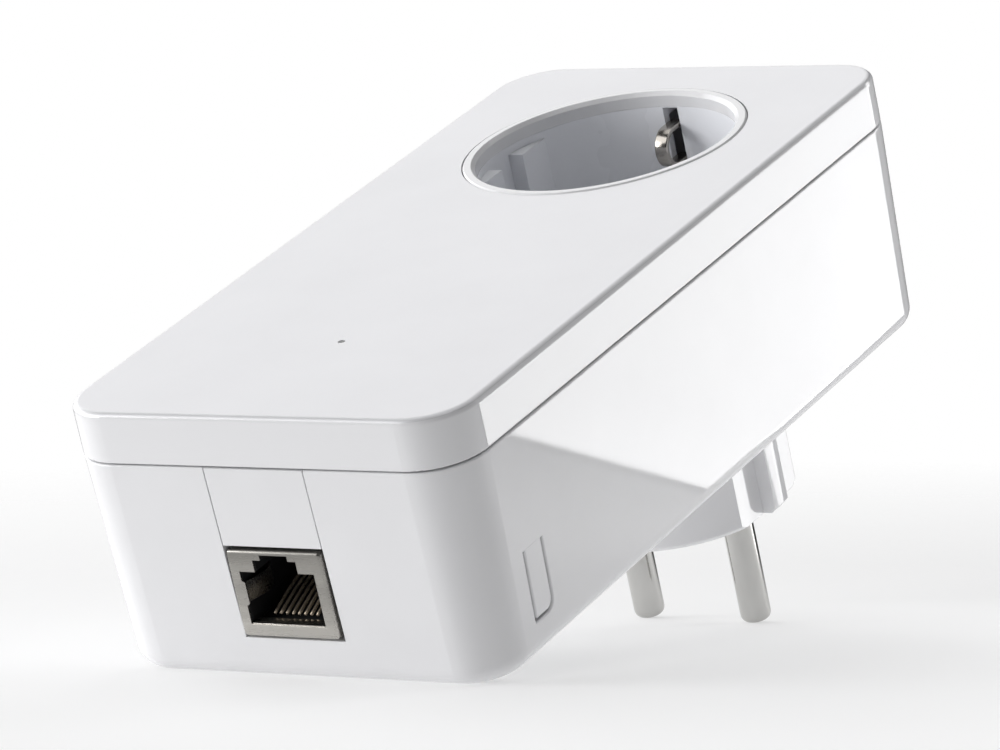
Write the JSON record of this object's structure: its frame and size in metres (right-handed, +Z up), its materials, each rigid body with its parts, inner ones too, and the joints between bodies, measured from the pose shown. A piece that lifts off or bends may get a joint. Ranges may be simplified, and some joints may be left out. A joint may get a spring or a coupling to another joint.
{
  "type": "powerline adapter",
  "caption": "Pass-through powerline network adapter: tapered white housing with a silver front cover, earthed socket, two-pin plug, network jack and a side push button.",
  "frame": {"origin": "middle of the footprint, on the surface that the adapter lies on", "axes": "+Y from the network end to the socket end, +Z up, +X to the side with the push button; the casing is tipped about X because it rests on its two pins and its lower edge"},
  "size_m": [0.0656, 0.1376, 0.0853],
  "materials": {
    "silver_cover": "satin moulded plastic, light silver grey",
    "white_gloss": "polished white moulded plastic",
    "white_rim": "semi-gloss white moulded plastic",
    "grey_cup": "satin light grey moulded plastic",
    "plate_film": "blank matt film",
    "zinc_steel": "zinc-plated steel",
    "nickel": "bright nickel plate",
    "clip_steel": "nickel-plated spring strip",
    "contact_brass": "bright stamped brass",
    "carrier_plastic": "natural glass-filled plastic",
    "shutter_plastic": "grey moulded plastic",
    "shield_nickel": "nickel-plated brass sheet, fine rolling grain",
    "black_plastic": "black glass-filled plastic",
    "gold_wire": "gold-plated spring wire",
    "button_grey": "grey plastic",
    "light_clear": "clear light guide",
    "board_green": "green solder mask on glass epoxy",
    "sheet_black": "thin insulating sheet",
    "capacitor_yellow": "yellow moulded case",
    "ferrite": "dark sintered ferrite",
    "heat_sink_alu": "extruded aluminium",
    "winding_tape": "yellow polyester tape over the winding",
    "copper_wire": "enamelled copper wire",
    "can_sleeve": "dark shrink sleeve on an aluminium can",
    "fuse_case": "moulded radial fuse case",
    "varistor_blue": "blue epoxy coating"
  },
  "bodies": {
    "casing": {"board_header": "black_plastic", "board_pillars": "carrier_plastic", "board_screws": "zinc_steel", "bridge_rectifier": "black_plastic", "bulk_capacitors": "can_sleeve", "choke_core": "ferrite", "choke_winding": "copper_wire", "contact_carrier": "carrier_plastic", "coupling_transformer": "ferrite", "crystal": "zinc_steel", "earth_bridge": "clip_steel", "front_cover": "silver_cover", "fuse": "fuse_case", "heat_sink": "heat_sink_alu", "housing_screws": "zinc_steel", "jack_contacts": "gold_wire", "jack_insert": "black_plastic", "jack_panel": "white_gloss", "jack_shield": "shield_nickel", "light_pipe": "light_clear", "main_chip": "black_plastic", "mains_board": "board_green", "network_board": "board_green", "network_magnetics": "black_plastic", "plug_body": "white_gloss", "plug_earth_far": "clip_steel", "plug_earth_near": "clip_steel", "plug_pin_left": "nickel", "plug_pin_right": "nickel", "rating_plate": "plate_film", "rear_housing": "white_gloss", "shutter_spring": "zinc_steel", "socket_contact_left": "contact_brass", "socket_contact_right": "contact_brass", "socket_cup": "grey_cup", "socket_rim": "white_rim", "spacer_sheet": "sheet_black", "status_light": "light_clear", "supply_capacitor": "capacitor_yellow", "switch_body": "black_plastic", "transformer_core": "ferrite", "transformer_winding": "winding_tape", "varistor": "varistor_blue"},
    "side_button": {"pairing_button": "white_gloss"},
    "switch_plunger": {"switch_plunger": "button_grey"},
    "safety_shutter": {"socket_shutter": "shutter_plastic"},
    "near_clip": {"earth_clip_near": "clip_steel"},
    "far_clip": {"earth_clip_far": "clip_steel"}
  },
  "joints": [
    {"name": "side_button_press", "type": "hinge", "parent": "casing", "child": "side_button", "pos_m": [0.03066, -0.0466, 0.01898], "axis": [0, 0.9305, 0.3664], "range_deg": [0, 3.5], "stiffness_Nm_per_rad": 0.24, "springref_deg": -0.29},
    {"name": "switch_plunger_travel", "type": "slide", "parent": "casing", "child": "switch_plunger", "axis": [-1, 0, 0], "range_m": [0, 0.0004]},
    {"name": "shutter_slide", "type": "slide", "parent": "casing", "child": "safety_shutter", "axis": [0, 0.9305, 0.3664], "range_m": [0, 0.0065], "stiffness_N_per_m": 60, "springref_m": -0.002, "deforming": ["shutter_spring"]},
    {"name": "near_clip_flex", "type": "hinge", "parent": "casing", "child": "near_clip", "pos_m": [0, 0.01291, 0.04457], "axis": [1, 0, 0], "range_deg": [0, 3], "stiffness_Nm_per_rad": 1.5, "springref_deg": -0.57},
    {"name": "far_clip_flex", "type": "hinge", "parent": "casing", "child": "far_clip", "pos_m": [0, 0.0559, 0.06149], "axis": [-1, 0, 0], "range_deg": [0, 3], "stiffness_Nm_per_rad": 1.5, "springref_deg": -0.57}
  ],
  "couplings": [
    {"joint": "switch_plunger_travel", "follows": "side_button_press", "m_per_rad": 0.0065}
  ]
}
